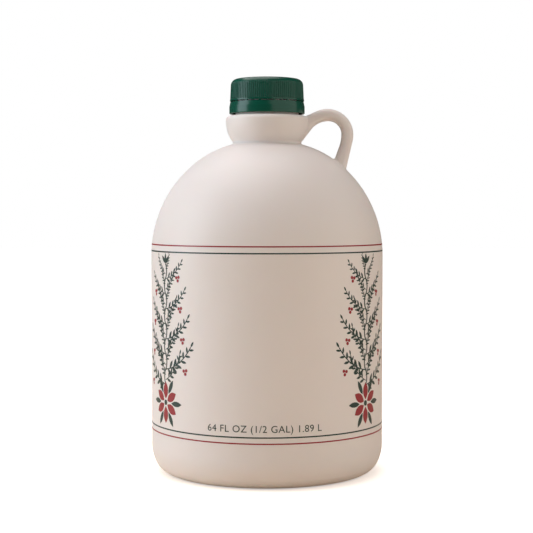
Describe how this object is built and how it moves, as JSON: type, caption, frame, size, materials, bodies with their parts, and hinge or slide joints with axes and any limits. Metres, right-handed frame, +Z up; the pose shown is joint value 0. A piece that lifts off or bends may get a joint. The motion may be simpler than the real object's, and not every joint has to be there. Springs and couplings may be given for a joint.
{
  "type": "maple syrup jug",
  "caption": "Shut handled jug of maple syrup, with a finger loop at the shoulder, a ribbed screw cap and its tamper band.",
  "frame": {"origin": "centre of the ring that the jug stands on", "axes": "+Z up along the jug's axis, +X towards the finger loop, -Y towards the printed front"},
  "size_m": [0.127, 0.127, 0.215],
  "materials": {
    "jug": "satin blow-moulded polyethylene, warm off-white, printed in dark green and red",
    "cap": "glossy injection-moulded dark green",
    "tamper_band": "glossy injection-moulded dark green"
  },
  "bodies": {
    "root": {"jug": "jug", "cap": "cap", "tamper_band": "tamper_band"}
  },
  "joints": []
}
